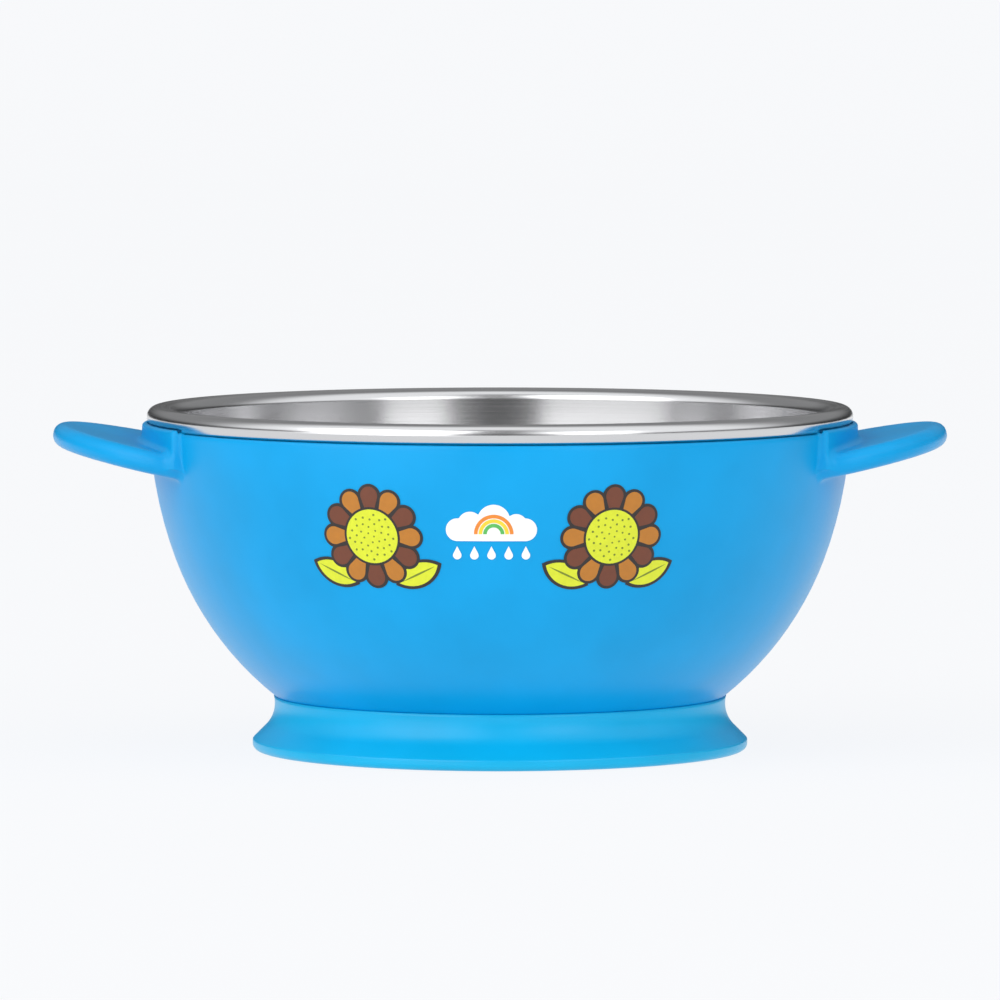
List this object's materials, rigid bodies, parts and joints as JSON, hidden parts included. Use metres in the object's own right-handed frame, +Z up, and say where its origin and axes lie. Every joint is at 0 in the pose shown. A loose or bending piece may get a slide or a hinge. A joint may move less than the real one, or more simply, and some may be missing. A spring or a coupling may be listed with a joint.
{
  "type": "suction bowl",
  "caption": "Toddler's bowl with a lift-out steel liner, a plastic shell with two ear handles and a twist-off rubber suction foot.",
  "frame": {"origin": "on the table, under the bowl's axis: the centre of the foot's contact ring", "axes": "+Z up along the bowl's axis, X through the two handles, -Y towards the printed front"},
  "size_m": [0.1568, 0.124, 0.0604],
  "materials": {
    "shell_plastic": "satin moulded polypropylene, sky blue",
    "steel": "spun and polished stainless steel",
    "seal_silicone": "translucent white silicone",
    "ring_plastic": "moulded polypropylene, blue",
    "foot_rubber": "glossy soft thermoplastic rubber, blue",
    "flower_print": "screen print, brown, amber and yellow-green",
    "cloud_print": "screen print, white with a small rainbow"
  },
  "bodies": {
    "foot": {"suction_foot": "foot_rubber", "sealing_lip": "foot_rubber"},
    "lock": {"foot_lock_ring": "ring_plastic"},
    "shell": {"outer_shell": "shell_plastic", "liner_seal": "seal_silicone", "flower_label_left": "flower_print", "cloud_label": "cloud_print", "flower_label_right": "flower_print"},
    "liner": {"steel_liner": "steel"},
    "tab": {"release_tab": "foot_rubber"}
  },
  "joints": [
    {"name": "suction_press", "type": "slide", "parent": "foot", "child": "lock", "axis": [0, 0, -1], "range_m": [0, 0.002], "stiffness_N_per_m": 3000, "springref_m": -0.001, "deforming": ["suction_foot"]},
    {"name": "foot_twist", "type": "hinge", "parent": "lock", "child": "shell", "pos_m": [0, 0, 0.006], "axis": [0, 0, 1], "range_deg": [0, 45]},
    {"name": "liner_lift", "type": "slide", "parent": "shell", "child": "liner", "axis": [0, 0, 1], "range_m": [0, 0.055]},
    {"name": "tab_flex", "type": "hinge", "parent": "foot", "child": "tab", "pos_m": [0, 0.0437, 0.00185], "axis": [1, 0, 0], "range_deg": [0, 50], "stiffness_Nm_per_rad": 0.01}
  ]
}
